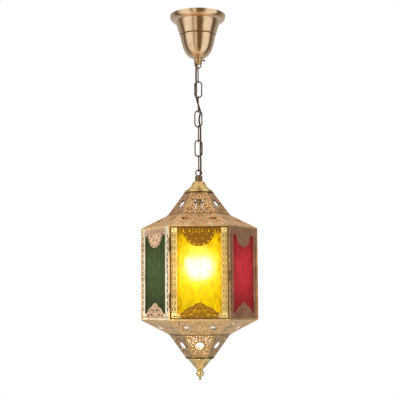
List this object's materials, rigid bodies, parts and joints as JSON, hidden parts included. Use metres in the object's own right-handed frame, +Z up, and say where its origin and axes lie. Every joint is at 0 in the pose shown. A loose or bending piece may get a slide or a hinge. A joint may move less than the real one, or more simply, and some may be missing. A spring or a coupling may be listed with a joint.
{
  "type": "pendant lantern",
  "caption": "Hexagonal pierced-brass pendant lantern with coloured glass panes, a hinged latched door, a bulb in a screw holder, and a ceiling canopy with a cord woven through its chain.",
  "frame": {"origin": "ceiling plane, at the middle of the line between the two ceiling screw holes", "axes": "+Z up into the ceiling, -Y out of the hinged front door, +X to the right seen from the front"},
  "size_m": [0.25, 0.2204, 0.7911],
  "materials": {
    "steel": "zinc-plated, slightly dull",
    "white_plastic": "plain moulded",
    "ivory_plastic": "plain moulded",
    "porcelain": "glazed white",
    "gold_brass": "satin gold-toned brass",
    "pale_brass": "satin pale antique brass",
    "antique_brass": "brushed antique brass with brown shading",
    "dark_bronze": "dark bronze patina",
    "cord": "dark brown braided sleeve",
    "amber_glass": "hammered amber glass",
    "green_glass": "hammered green glass",
    "red_glass": "hammered red glass",
    "opal_glass": "lit opal bulb",
    "bulb_metal": "bare screw cap"
  },
  "bodies": {
    "ceiling_fixture": {"mounting_strap": "steel", "nipple_yoke": "steel", "terminal_block": "white_plastic", "canopy_nipple": "gold_brass", "nipple_nuts": "steel", "ceiling_canopy": "antique_brass", "canopy_loop": "antique_brass", "lock_screw": "dark_bronze", "canopy_cord": "cord"},
    "chain": {"chain_link_1": "dark_bronze", "chain_link_2": "dark_bronze", "chain_link_3": "dark_bronze", "chain_link_4": "dark_bronze", "chain_link_5": "dark_bronze", "chain_link_6": "dark_bronze", "chain_link_7": "dark_bronze", "chain_cord": "cord"},
    "lantern": {"hanging_loop": "dark_bronze", "stem_tube": "gold_brass", "stem_nuts": "steel", "cap_cone": "gold_brass", "top_plate": "gold_brass", "roof_steep_panels": "pale_brass", "roof_shallow_panels": "pale_brass", "top_rails": "gold_brass", "corner_posts": "gold_brass", "bottom_rails": "gold_brass", "fret_panel_right_front": "pale_brass", "fret_panel_right_back": "pale_brass", "fret_panel_back": "pale_brass", "fret_panel_left_back": "pale_brass", "fret_panel_left_front": "pale_brass", "glass_right_front": "red_glass", "glass_right_back": "amber_glass", "glass_back": "green_glass", "glass_left_back": "red_glass", "glass_left_front": "green_glass", "glass_clips": "gold_brass", "lamp_holder": "ivory_plastic", "lamp_insulator": "porcelain", "lamp_screw_shell": "gold_brass", "lantern_cord": "cord", "base_shallow_panels": "pale_brass", "base_steep_panels": "pale_brass", "bottom_plate": "gold_brass", "bottom_cone": "gold_brass", "finial_ball": "gold_brass", "finial_nut": "steel", "post_knuckles": "gold_brass", "hinge_pins": "steel", "latch_screw": "dark_bronze"},
    "door": {"door_frame": "pale_brass", "door_fret_panel": "pale_brass", "door_glass": "amber_glass", "door_glass_clips": "gold_brass", "door_knuckles": "pale_brass", "latch_stud": "dark_bronze"},
    "latch": {"latch_hook": "dark_bronze"},
    "bulb": {"bulb_glass": "opal_glass", "bulb_cap": "bulb_metal"}
  },
  "joints": [
    {"name": "chain_swing", "type": "hinge", "parent": "ceiling_fixture", "child": "chain", "pos_m": [0, 0, -0.118], "axis": [1, 0, 0], "range_deg": [-25, 25]},
    {"name": "lantern_swing", "type": "hinge", "parent": "chain", "child": "lantern", "pos_m": [0, 0, -0.3455], "axis": [0, 1, 0], "range_deg": [-25, 25]},
    {"name": "door_hinge", "type": "hinge", "parent": "lantern", "child": "door", "pos_m": [-0.0604, -0.1105, -0.56675], "axis": [0, 0, -1], "range_deg": [0, 150]},
    {"name": "latch_turn", "type": "hinge", "parent": "lantern", "child": "latch", "pos_m": [0.0619, -0.1095, -0.5823], "axis": [0, -1, 0], "range_deg": [0, 90]},
    {"name": "bulb_turn", "type": "hinge", "parent": "lantern", "child": "bulb", "pos_m": [0, 0, -0.483], "axis": [0, 0, -1], "range_deg": [0, 900]}
  ]
}
